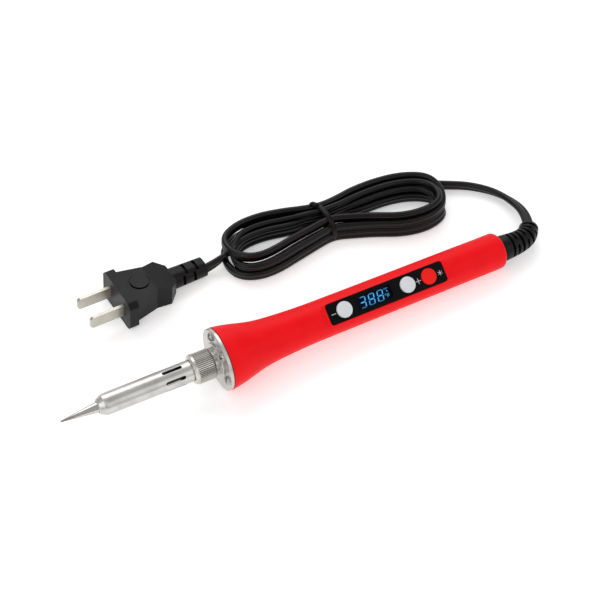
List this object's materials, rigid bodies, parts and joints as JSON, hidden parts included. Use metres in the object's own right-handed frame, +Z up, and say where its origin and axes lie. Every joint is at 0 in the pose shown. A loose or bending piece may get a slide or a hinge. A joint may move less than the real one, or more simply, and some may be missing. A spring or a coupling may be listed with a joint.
{
  "type": "soldering iron",
  "caption": "Mains soldering iron with a display and buttons in a flared handle, screw-on tip barrel, and a flat twin cord tied in a hank with a flat-blade plug.",
  "frame": {"origin": "on the surface the iron lies on, below the middle of the iron from tip to cord boot", "axes": "+X from the tip towards the cord end, +Z up, -Y the side the display faces; the cord lies at +Y"},
  "size_m": [0.2466, 0.0854, 0.0288],
  "materials": {
    "tip_plating": "polished plated cone, heat tinted at its point",
    "barrel_steel": "polished stainless tube",
    "nut_plating": "straight knurl, satin nickel plate",
    "ferrule_plating": "turned and nickel plated",
    "flange_steel": "pressed and plated disc",
    "screw_plating": "plated cross-recess screws",
    "gasket_fibre": "black fibre washer",
    "heater_ceramic": "alumina rod",
    "bush_ceramic": "pressed ceramic",
    "lead_wire": "white insulated wire",
    "glass_sleeve": "woven glass sleeving",
    "handle_red": "satin red nylon",
    "panel_black": "gloss black film panel",
    "window_smoke": "smoked clear lens",
    "backlight_white": "white light guide",
    "lcd_blue": "blue display cell",
    "switch_black": "moulded switch housings",
    "board_green": "solder-masked glass-epoxy board",
    "package_black": "moulded package",
    "capacitor_can": "sleeved aluminium can",
    "capacitor_box": "yellow box",
    "resistor_body": "lacquered film resistors",
    "cord_black": "flat twin sheath",
    "core_blue": "insulated copper cores",
    "button_white": "satin pale grey cap",
    "button_red": "satin red cap",
    "plunger_black": "switch plunger",
    "boot_black": "ribbed flexible boot",
    "tie_black": "coated wire tie",
    "plug_black": "moulded satin black",
    "blade_nickel": "nickel plated brass",
    "carrier_black": "hard insert"
  },
  "bodies": {
    "handle": {"blade_carrier": "carrier_black", "circuit_board": "board_green", "controller_chip": "package_black", "cord_hank": "cord_black", "cord_lead": "cord_black", "cord_stub": "cord_black", "cord_tail": "cord_black", "cord_tie": "tie_black", "display_panel": "panel_black", "display_window": "window_smoke", "dropper_resistors": "resistor_body", "film_capacitor": "capacitor_box", "flange_gasket": "gasket_fibre", "flange_screws": "screw_plating", "front_flange": "flange_steel", "handle_shell": "handle_red", "heater_bush": "bush_ceramic", "heater_leads": "lead_wire", "heating_element": "heater_ceramic", "lcd_backlight": "backlight_white", "lcd_glass": "lcd_blue", "lead_sleeve": "glass_sleeve", "mains_leads": "core_blue", "plug_blades": "blade_nickel", "plug_body": "plug_black", "rectifier_diodes": "package_black", "strain_relief_boot": "boot_black", "supply_capacitor": "capacitor_can", "switch_bodies": "switch_black", "threaded_ferrule": "ferrule_plating", "triac": "package_black"},
    "minus_press": {"minus_button": "button_white", "minus_plunger": "plunger_black"},
    "plus_press": {"plus_button": "button_white", "plus_plunger": "plunger_black"},
    "power_press": {"power_button": "button_red", "power_plunger": "plunger_black"},
    "nut": {"retaining_nut": "nut_plating"},
    "barrel": {"soldering_tip": "tip_plating", "tip_barrel": "barrel_steel"}
  },
  "joints": [
    {"name": "barrel_slide", "type": "slide", "parent": "handle", "child": "barrel", "axis": [-0.9992, 0, 0.0409], "range_m": [0, 0.005]},
    {"name": "nut_turn", "type": "hinge", "parent": "barrel", "child": "nut", "pos_m": [-0.05698, 0, 0.01478], "axis": [-0.9992, 0, 0.0409], "range_deg": [0, 1800]},
    {"name": "minus_button", "type": "slide", "parent": "handle", "child": "minus_press", "axis": [-0.0342, 0.5505, -0.8341], "range_m": [0, 0.0003], "stiffness_N_per_m": 4000},
    {"name": "plus_button", "type": "slide", "parent": "handle", "child": "plus_press", "axis": [-0.0342, 0.5505, -0.8341], "range_m": [0, 0.0003], "stiffness_N_per_m": 4000},
    {"name": "power_button", "type": "slide", "parent": "handle", "child": "power_press", "axis": [-0.0342, 0.5505, -0.8341], "range_m": [0, 0.0003], "stiffness_N_per_m": 4000}
  ],
  "couplings": [
    {"joint": "nut_turn", "follows": "barrel_slide", "rad_per_m": 6283.2}
  ]
}
